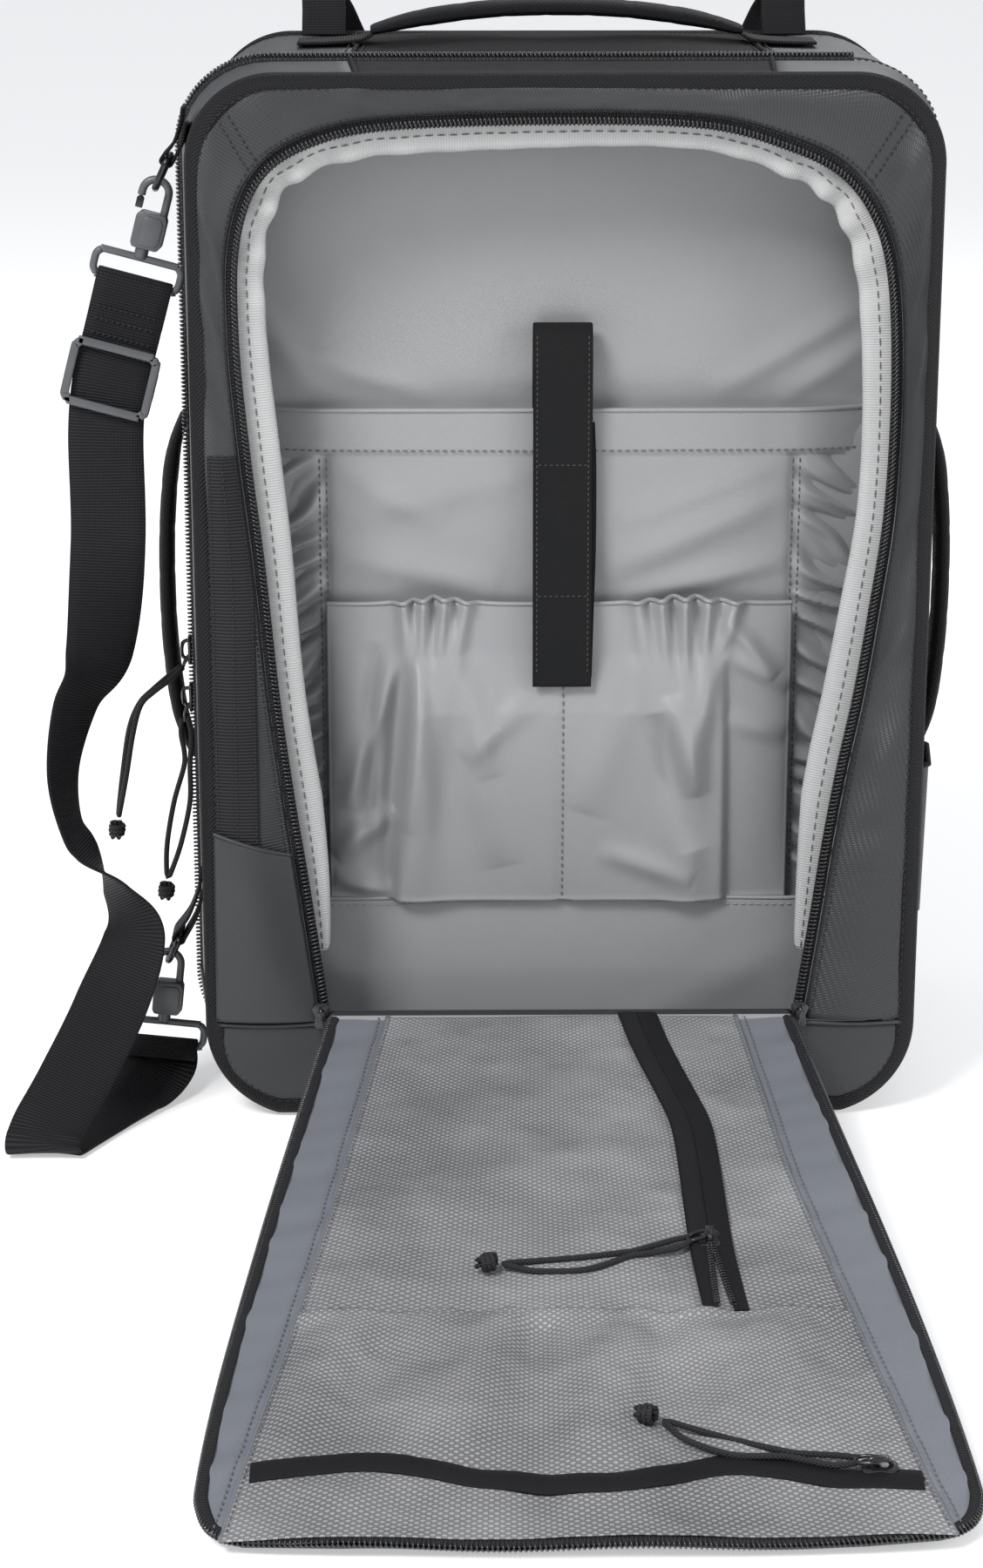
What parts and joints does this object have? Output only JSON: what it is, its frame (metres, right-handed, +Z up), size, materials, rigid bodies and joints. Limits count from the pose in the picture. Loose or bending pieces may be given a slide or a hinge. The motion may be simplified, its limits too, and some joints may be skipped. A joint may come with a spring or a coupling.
{
  "type": "travel backpack",
  "caption": "Soft travel backpack that opens like a suitcase, with a front organiser behind a zipped flap, carry handles, a stowable harness and a clip-on carrying strap.",
  "frame": {"origin": "middle of the bag's base, on the floor it stands on", "axes": "+Z up, -Y out of the front flap, +X to the right seen from the front, where the two sections are hinged"},
  "size_m": [0.492, 0.6983, 0.5544],
  "materials": {
    "coated_twill": "polymer-coated dark grey twill, satin",
    "black_twill": "black uncoated twill, matt",
    "black_webbing": "black woven nylon webbing, matt",
    "grey_lining": "mid grey nylon lining, slight sheen",
    "light_tape": "light grey ribbed woven tape, matt",
    "grey_mesh": "grey knitted mesh, matt",
    "zip_coil": "black nylon coil zip",
    "grey_plastic": "grey moulded acetal, satin",
    "dark_metal": "dark plated metal, glossy",
    "black_foam": "black fabric over closed-cell foam",
    "white_board": "plain polyethylene sheet",
    "bare_aluminium": "plain rolled bar",
    "cord_sheath": "dark braided cord"
  },
  "bodies": {
    "rear_section": {"rear_gusset": "coated_twill", "rear_boot": "coated_twill", "back_panel": "black_twill", "frame_sheet": "white_board", "frame_stay": "bare_aluminium", "base_board": "white_board", "back_pad": "black_foam", "clamshell_coil_rear": "zip_coil", "load_lifter_left": "black_webbing", "load_lifter_right": "black_webbing"},
    "front_section": {"front_panel": "coated_twill", "front_binding": "black_twill", "front_gusset": "coated_twill", "front_boot": "coated_twill", "divider_panel": "grey_lining", "document_sleeve": "grey_lining", "organiser_pocket": "grey_lining", "front_zip_coil": "zip_coil", "front_zip_facing": "light_tape", "clamshell_coil_front": "zip_coil", "dring_tab_upper": "black_webbing", "dring_tab_lower": "black_webbing", "sling_hook_upper": "grey_plastic", "sling_hook_lower": "grey_plastic", "sling_webbing": "black_webbing"},
    "closure_tab": {"closure_tab": "black_webbing"},
    "front_slider_left": {"front_slider_left": "dark_metal"},
    "front_slider_right": {"front_slider_right": "dark_metal"},
    "flap": {"flap_shell": "coated_twill", "flap_zip_coil": "zip_coil", "mesh_pocket_upper": "grey_mesh", "mesh_zip_vertical": "zip_coil", "mesh_pocket_lower": "grey_mesh", "mesh_zip_horizontal": "zip_coil"},
    "mesh_slider_vertical": {"mesh_slider_vertical": "dark_metal", "mesh_pull_vertical": "cord_sheath", "mesh_pull_knot_vertical": "cord_sheath"},
    "mesh_slider_horizontal": {"mesh_slider_horizontal": "dark_metal", "mesh_pull_horizontal": "cord_sheath", "mesh_pull_knot_horizontal": "cord_sheath"},
    "side_slider_upper": {"side_slider_upper": "dark_metal", "side_pull_upper": "cord_sheath", "side_pull_knot_upper": "cord_sheath"},
    "side_slider_lower": {"side_slider_lower": "dark_metal", "side_pull_lower": "cord_sheath", "side_pull_knot_lower": "cord_sheath"},
    "top_handle": {"top_handle": "black_twill"},
    "side_handle_left": {"side_handle_left": "black_twill"},
    "side_handle_right": {"side_handle_right": "black_twill"},
    "shoulder_strap_left": {"shoulder_strap_left": "black_foam", "ladder_lock_left": "grey_plastic", "strap_webbing_left": "black_webbing"},
    "shoulder_strap_right": {"shoulder_strap_right": "black_foam", "ladder_lock_right": "grey_plastic", "strap_webbing_right": "black_webbing"},
    "dring_upper": {"dring_upper": "dark_metal"},
    "dring_lower": {"dring_lower": "dark_metal"},
    "sling_gate_upper": {"sling_gate_upper": "dark_metal"},
    "sling_gate_lower": {"sling_gate_lower": "dark_metal"},
    "tri_glide": {"tri_glide": "grey_plastic"}
  },
  "joints": [
    {"name": "front_section_swing", "type": "hinge", "parent": "rear_section", "child": "front_section", "pos_m": [0.188, -0.025, 0.27], "axis": [0, 0, 1], "range_deg": [0, 100]},
    {"name": "flap_fold", "type": "hinge", "parent": "front_section", "child": "flap", "pos_m": [0, -0.1085, 0.053], "axis": [-1, 0, 0], "range_deg": [0, 96.39]},
    {"name": "front_zip_left", "type": "slide", "parent": "front_section", "child": "front_slider_left", "axis": [-0.1255, 0, 0.9921], "range_m": [0, 0.29]},
    {"name": "front_zip_right", "type": "slide", "parent": "front_section", "child": "front_slider_right", "axis": [0.1255, 0, 0.9921], "range_m": [0, 0.29]},
    {"name": "closure_tab_lift", "type": "hinge", "parent": "front_section", "child": "closure_tab", "pos_m": [0.001, -0.05, 0.401], "axis": [1, 0, 0], "range_deg": [-120, 0]},
    {"name": "mesh_zip_vertical_slide", "type": "slide", "parent": "flap", "child": "mesh_slider_vertical", "axis": [-0.0883, 0.9899, 0.1109], "range_m": [-0.03, 0.2]},
    {"name": "mesh_zip_horizontal_slide", "type": "slide", "parent": "flap", "child": "mesh_slider_horizontal", "axis": [-1, 0, 0], "range_m": [0, 0.13]},
    {"name": "side_zip_upper", "type": "slide", "parent": "rear_section", "child": "side_slider_upper", "axis": [0, 0, 1], "range_m": [0, 0.2]},
    {"name": "side_zip_lower", "type": "slide", "parent": "rear_section", "child": "side_slider_lower", "axis": [0, 0, -1], "range_m": [0, 0.08]},
    {"name": "top_handle_lean", "type": "hinge", "parent": "rear_section", "child": "top_handle", "pos_m": [0, 0.05, 0.5365], "axis": [1, 0, 0], "range_deg": [-20, 20], "stiffness_Nm_per_rad": 0.2},
    {"name": "side_handle_left_lean", "type": "hinge", "parent": "rear_section", "child": "side_handle_left", "pos_m": [-0.196, 0.03, 0.25], "axis": [0, 0, 1], "range_deg": [-25, 25], "stiffness_Nm_per_rad": 0.2},
    {"name": "side_handle_right_lean", "type": "hinge", "parent": "rear_section", "child": "side_handle_right", "pos_m": [0.196, 0.03, 0.25], "axis": [0, 0, 1], "range_deg": [-25, 25], "stiffness_Nm_per_rad": 0.2},
    {"name": "shoulder_strap_left_swing", "type": "hinge", "parent": "rear_section", "child": "shoulder_strap_left", "pos_m": [-0.063, 0.1225, 0.4745], "axis": [1, 0, 0], "range_deg": [0, 50]},
    {"name": "shoulder_strap_right_swing", "type": "hinge", "parent": "rear_section", "child": "shoulder_strap_right", "pos_m": [0.063, 0.1225, 0.4745], "axis": [1, 0, 0], "range_deg": [0, 50]},
    {"name": "dring_upper_turn", "type": "hinge", "parent": "front_section", "child": "dring_upper", "pos_m": [-0.19304, -0.07, 0.4885], "axis": [0, 1, 0], "range_deg": [-4, 3]},
    {"name": "dring_lower_turn", "type": "hinge", "parent": "front_section", "child": "dring_lower", "pos_m": [-0.19774, -0.07, 0.086], "axis": [0, 1, 0], "range_deg": [-4, 3]},
    {"name": "gate_upper_press", "type": "hinge", "parent": "front_section", "child": "sling_gate_upper", "pos_m": [-0.20794, -0.07, 0.46643], "axis": [0, 1, 0], "range_deg": [0, 30], "stiffness_Nm_per_rad": 0.02},
    {"name": "gate_lower_press", "type": "hinge", "parent": "front_section", "child": "sling_gate_lower", "pos_m": [-0.21172, -0.07, 0.06272], "axis": [0, 1, 0], "range_deg": [0, 30], "stiffness_Nm_per_rad": 0.02},
    {"name": "tri_glide_slide", "type": "slide", "parent": "front_section", "child": "tri_glide", "axis": [-0.118, 0, -0.993], "range_m": [0, 0.01]}
  ]
}
